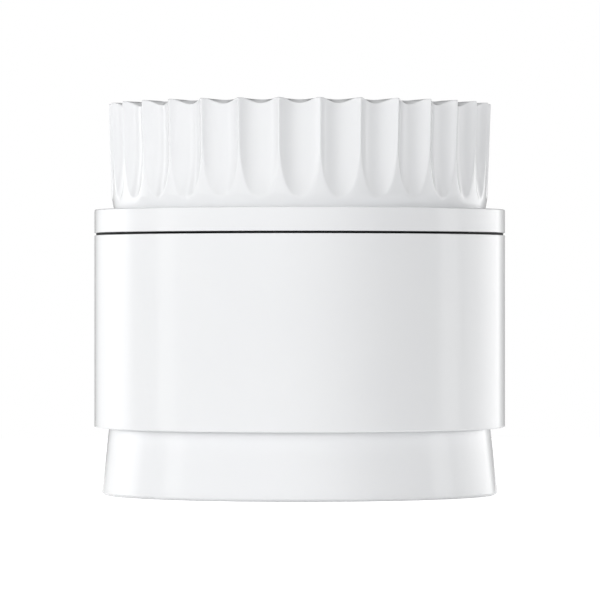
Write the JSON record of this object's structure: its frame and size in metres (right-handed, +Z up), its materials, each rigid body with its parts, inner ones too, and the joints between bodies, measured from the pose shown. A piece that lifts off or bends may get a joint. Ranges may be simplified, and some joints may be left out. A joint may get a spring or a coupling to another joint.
{
  "type": "spice mill",
  "caption": "Squat hand-twist spice mill: plain round body on a flared lift-off base cup, with a fluted turning grip and a conical ceramic burr set with a finger-wheel adjuster.",
  "frame": {"origin": "centre of the foot ring, on the surface that the mill stands on", "axes": "+Z up along the axis of the mill; -Y is the front, where a flute of the grip faces the viewer; +X is the viewer's right"},
  "size_m": [0.06, 0.06, 0.0571],
  "materials": {
    "white_shell": "gloss moulded white plastic",
    "black_rubber": "matt black silicone rubber",
    "dark_plastic": "matt moulded plastic",
    "grey_plastic": "matt moulded plastic",
    "pale_plastic": "satin bearing plastic",
    "ceramic": "unglazed fired ceramic",
    "steel": "drawn stainless steel",
    "brass": "turned brass"
  },
  "bodies": {
    "base": {"base_lid": "white_shell", "base_seal": "black_rubber"},
    "mill": {"body": "white_shell", "seal_ring": "black_rubber", "burr_carrier": "dark_plastic", "carrier_screws": "steel", "outer_burr": "ceramic", "bridge": "dark_plastic", "shaft_bush": "pale_plastic"},
    "rotor": {"drive_shaft": "steel", "thrust_washer": "steel", "shaft_clip": "steel", "burr_spring": "steel"},
    "head": {"drive_collar": "white_shell", "drive_socket": "grey_plastic", "lock_ring": "steel", "grip": "white_shell", "grip_screws": "steel", "top_cover": "white_shell"},
    "cone": {"inner_burr": "ceramic", "burr_core": "grey_plastic"},
    "adjuster": {"adjuster_wheel": "grey_plastic", "adjuster_nut": "brass"}
  },
  "joints": [
    {"name": "body_lift", "type": "slide", "parent": "base", "child": "mill", "axis": [0, 0, 1], "range_m": [0, 0.02]},
    {"name": "grind_turn", "type": "hinge", "parent": "mill", "child": "rotor", "pos_m": [0, 0, 0.022], "axis": [0, 0, 1], "continuous": true},
    {"name": "head_lift", "type": "slide", "parent": "rotor", "child": "head", "axis": [0, 0, 1], "range_m": [0, 0.03]},
    {"name": "burr_gap", "type": "slide", "parent": "rotor", "child": "cone", "axis": [0, 0, 1], "range_m": [-0.000485, 0.000485], "deforming": ["burr_spring"]},
    {"name": "adjuster_turn", "type": "hinge", "parent": "cone", "child": "adjuster", "pos_m": [0, 0, 0.006], "axis": [0, 0, 1], "range_deg": [-140, 140]}
  ],
  "couplings": [
    {"joint": "adjuster_turn", "follows": "burr_gap", "rad_per_m": 5026.5}
  ]
}
